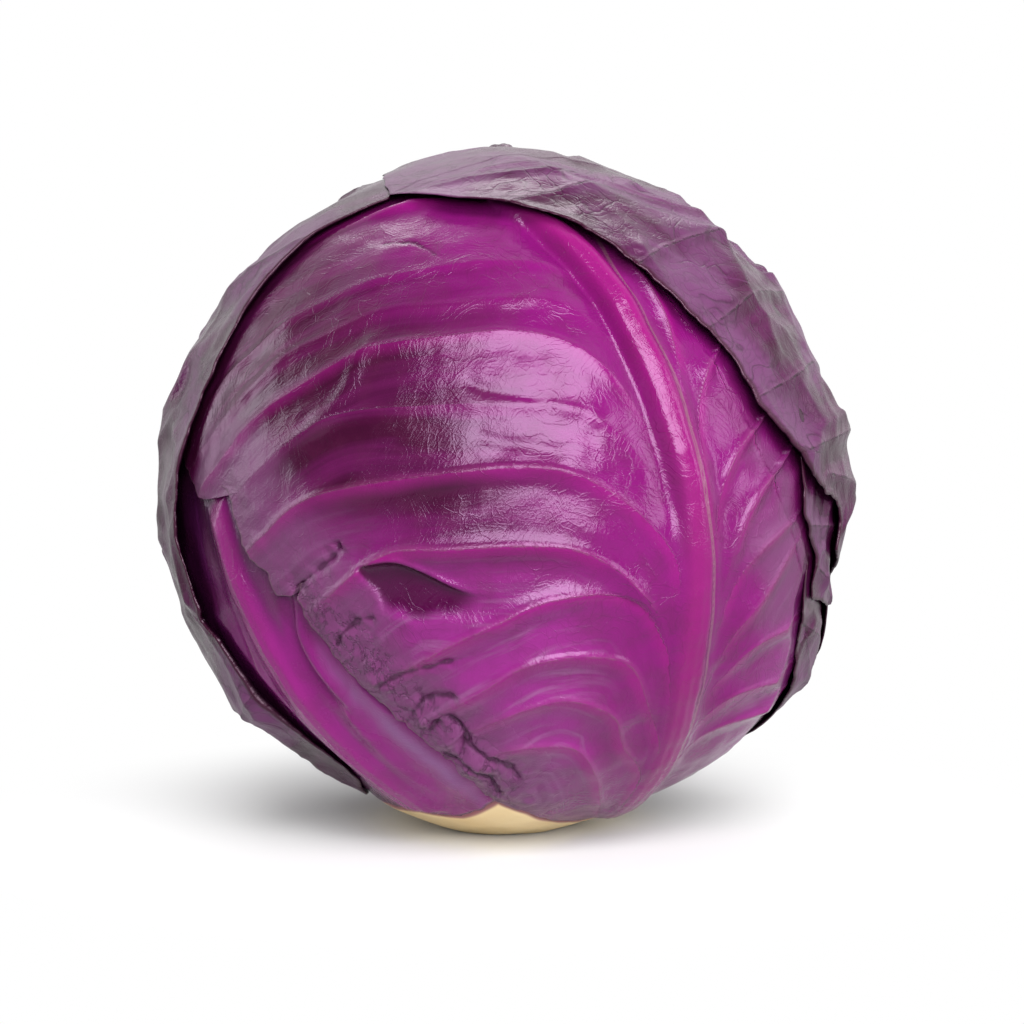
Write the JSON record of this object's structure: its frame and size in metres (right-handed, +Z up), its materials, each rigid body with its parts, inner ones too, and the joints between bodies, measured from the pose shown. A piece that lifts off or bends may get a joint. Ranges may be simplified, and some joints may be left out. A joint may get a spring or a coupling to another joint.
{
  "type": "red cabbage head",
  "caption": "Whole head of red cabbage standing on its cut stem, a glossy ribbed leaf in front and dull torn outer leaves wrapped round the sides, crown and back.",
  "frame": {"origin": "centre of the flat cut face of the stem, on which the head stands", "axes": "+Z up out of the crown, -Y towards the front leaf with the big curved rib, +X towards the side where the crown leaf hangs lowest"},
  "size_m": [0.1483, 0.1489, 0.1452],
  "materials": {
    "cut_stem": "matt, moist knife cut",
    "inner_head": "satin, packed leaves",
    "glossy_leaf": "glossy waxy leaf with raised veins",
    "outer_leaf": "dull, bloom-covered crumpled leaf"
  },
  "bodies": {
    "root": {"stem": "cut_stem", "heart": "inner_head", "leaf_left_inner": "glossy_leaf", "leaf_right_inner": "outer_leaf", "leaf_front": "glossy_leaf", "leaf_left_outer": "outer_leaf", "leaf_right_lower": "outer_leaf", "leaf_right_upper": "outer_leaf", "leaf_crown": "outer_leaf", "leaf_back": "outer_leaf"}
  },
  "joints": []
}
